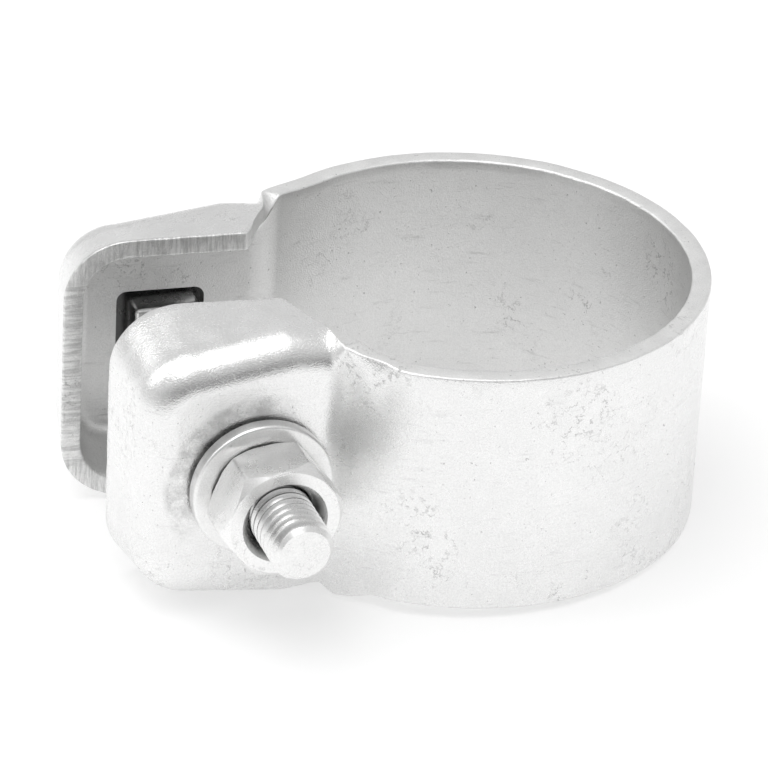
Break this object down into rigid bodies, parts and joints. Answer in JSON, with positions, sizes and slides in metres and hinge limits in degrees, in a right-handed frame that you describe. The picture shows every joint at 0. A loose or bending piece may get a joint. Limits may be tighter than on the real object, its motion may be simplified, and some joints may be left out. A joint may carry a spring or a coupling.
{
  "type": "pipe clamp",
  "caption": "Pressed steel pipe clamp: a round band with tray-shaped lugs drawn together by a carriage bolt, washer and hexagon nut.",
  "frame": {"origin": "centre of the pipe bore, halfway across the band's width", "axes": "+Z along the pipe bore, -X towards the lugs, -Y towards the bolt's nut"},
  "size_m": [0.0789, 0.067, 0.0362],
  "materials": {
    "plated_sheet": "bright zinc plating over pressed sheet, satin with fine specks",
    "plated_bolt": "bright zinc plating over rolled thread",
    "plated_washer": "bright zinc plating, satin",
    "plated_nut": "bright zinc plating, satin"
  },
  "bodies": {
    "band": {"clamp_band": "plated_sheet"},
    "bolt": {"carriage_bolt": "plated_bolt"},
    "washer": {"plain_washer": "plated_washer"},
    "nut": {"hex_nut": "plated_nut"}
  },
  "joints": [
    {"name": "bolt_slide", "type": "slide", "parent": "band", "child": "bolt", "axis": [0.0698, -0.9976, 0], "range_m": [0, 0.0005]},
    {"name": "washer_slide", "type": "slide", "parent": "bolt", "child": "washer", "axis": [0.0698, -0.9976, 0], "range_m": [0, 0.0063]},
    {"name": "nut_turn", "type": "hinge", "parent": "washer", "child": "nut", "pos_m": [-0.0327, 0, -0.0005], "axis": [0.0698, -0.9976, 0], "range_deg": [0, 1800]}
  ],
  "couplings": [
    {"joint": "washer_slide", "follows": "nut_turn", "m_per_rad": 0.00019894}
  ]
}
